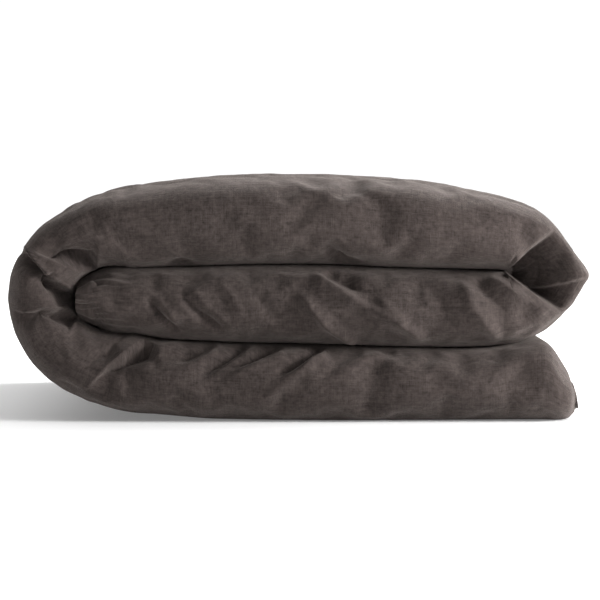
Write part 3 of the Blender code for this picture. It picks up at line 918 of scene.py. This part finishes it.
def add_stage():
    bpy.context.scene.view_settings.view_transform = "Standard"
    world = bpy.data.worlds.new("studio")
    world.use_nodes = True
    tree = world.node_tree
    # white behind and to the right of the object, dimmer in front and on its left
    where = tree.nodes.new("ShaderNodeTexCoord")
    share = tree.nodes.new("ShaderNodeVectorMath")
    share.operation = "DOT_PRODUCT"
    share.inputs[1].default_value = (0.28, 0.40, 0.26)
    tree.links.new(where.outputs["Generated"], share.inputs[0])
    strength = tree.nodes.new("ShaderNodeMapRange")
    strength.inputs["From Min"].default_value = -0.3
    strength.inputs["From Max"].default_value = 0.32
    strength.inputs["To Min"].default_value = 0.03
    strength.inputs["To Max"].default_value = 1.05
    tree.links.new(share.outputs["Value"], strength.inputs["Value"])
    # a pale band round the horizon keeps every backdrop light
    height = tree.nodes.new("ShaderNodeSeparateXYZ")
    tree.links.new(where.outputs["Generated"], height.inputs[0])
    level = tree.nodes.new("ShaderNodeMath")
    level.operation = "ABSOLUTE"
    tree.links.new(height.outputs[2], level.inputs[0])
    band = tree.nodes.new("ShaderNodeMapRange")
    band.interpolation_type = "SMOOTHSTEP"
    for key, value in (("From Min", 0.12), ("From Max", 0.34), ("To Min", 0.55), ("To Max", 0.0)):
        band.inputs[key].default_value = value
    tree.links.new(level.outputs[0], band.inputs["Value"])
    brighter = tree.nodes.new("ShaderNodeMath")
    brighter.operation = "MAXIMUM"
    tree.links.new(strength.outputs[0], brighter.inputs[0])
    tree.links.new(band.outputs[0], brighter.inputs[1])
    tree.links.new(brighter.outputs[0], tree.nodes["Background"].inputs["Strength"])
    tree.nodes["Background"].inputs["Color"].default_value = (1, 1, 1, 1)
    bpy.context.scene.world = world
    mesh = bpy.data.meshes.new("floor")
    shape = bmesh.new()
    bmesh.ops.create_grid(shape, x_segments=2, y_segments=2, size=9)
    shape.to_mesh(mesh)
    shape.free()
    floor = bpy.data.objects.new("floor", mesh)
    bpy.context.scene.collection.objects.link(floor)
    mesh.materials.append(glowing_paper("floor_paper", (0.93, 0.93, 0.93, 1)))
    area_light("key", (1.2, 0.9, 1.6), (0.1, 0, 0.15), (1.3, 1.0), 80)
    area_light("right", (2.0, -0.9, 0.6), (0.25, -0.1, 0.1), (0.6, 0.6), 62)
    area_light("end", (0.85, -0.85, 0.42), (0.3, -0.3, 0.06), (0.3, 0.3), 2.6)
    area_light("front", (1.0, -1.9, 2.0), (0, -0.2, 0.1), (0.9, 0.7), 5)


# ---- Putting it together ----------------------------------------------------------------------------------------


def bend_between(piece):
    """Bakes a piece of the big fold's placement into its mesh; nothing bends it about its hinge."""
    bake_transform(piece)


def finish_node(name, material):
    """Gives a CAD node's object a better material."""
    node = bpy.data.objects[name]
    for place in node.material_slots:
        place.material = material


def settle(piece, section):
    if section == "lower":
        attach(piece, "lower_layer")
    elif section == "roll":
        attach(piece, "roll")
    else:
        bend_between(piece)


def nodes_of(*starts):
    return [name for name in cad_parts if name.startswith(starts)]


SECTION_OF_NODE = {"fold_a": "fold_0", "fold_b": "fold_0", "fold_c": "fold_1", "fold_d": "fold_2", "fold_e": "fold_3",
                   "lower": "lower", "upper": "roll", "middle": "roll", "end_fold": "roll"}

add_camera()
add_stage()
grid, spans, places = build_cover_grid()
FLIPPED = bool(flip_needed(grid))
normal = outward(grid)
girth_steps = np.linalg.norm(np.roll(grid, -1, axis=1) - grid, axis=2).mean(axis=0)
GIRTH = float(girth_steps.sum() * MM)
round_strip = np.concatenate([[0], np.cumsum(girth_steps)[:-1]]) * MM
CLOTH_UV = np.stack(np.broadcast_arrays(places[:, None] * MM, round_strip[None, :]), axis=2)

cover_cloth = linen("cover_linen", (0.0165, 0.0126, 0.0114, 1), (0.068, 0.0535, 0.049, 1))
covers = {}
for section, (first, last) in spans.items():
    caps = {"lower": ("first",), "roll": ("last",)}.get(section, ())
    piece = cut_piece(f"cover_{section}", grid, normal, first, last, caps)
    piece.data.materials.append(cover_cloth)
    covers[section] = piece

for section, piece in covers.items():
    settle(piece, section)
    stands_for = [n for n in nodes_of("cover_face", "cover_back", "ticking", "fill")
                  if any(key in n and SECTION_OF_NODE[key] == section for key in SECTION_OF_NODE)]
    if section == "lower":
        stands_for.append("cover_end_seam")
    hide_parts(*stands_for)

thread = linen("sewing_thread", (0.035, 0.027, 0.0245, 1), (0.11, 0.088, 0.08, 1))
hems = {
    "placket_over_hems": (over_hems, cover_cloth, ("cover_placket_over",)),
    "placket_under_hems": (under_hems, cover_cloth, ("cover_placket_under",)),
    "placket_stitches": (hem_stitches, thread, ()),
}
for name, (build, material, stands_for) in hems.items():
    piece = add_mesh_piece(name, build, material)
    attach(piece, "roll")
    if stands_for:
        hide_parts(*stands_for)

tape, button_horn = tape_cloth(), horn()
for name in nodes_of("insert_loop", "cover_tie"):
    finish_node(name, tape)
for name in nodes_of("button_"):
    finish_node(name, button_horn)
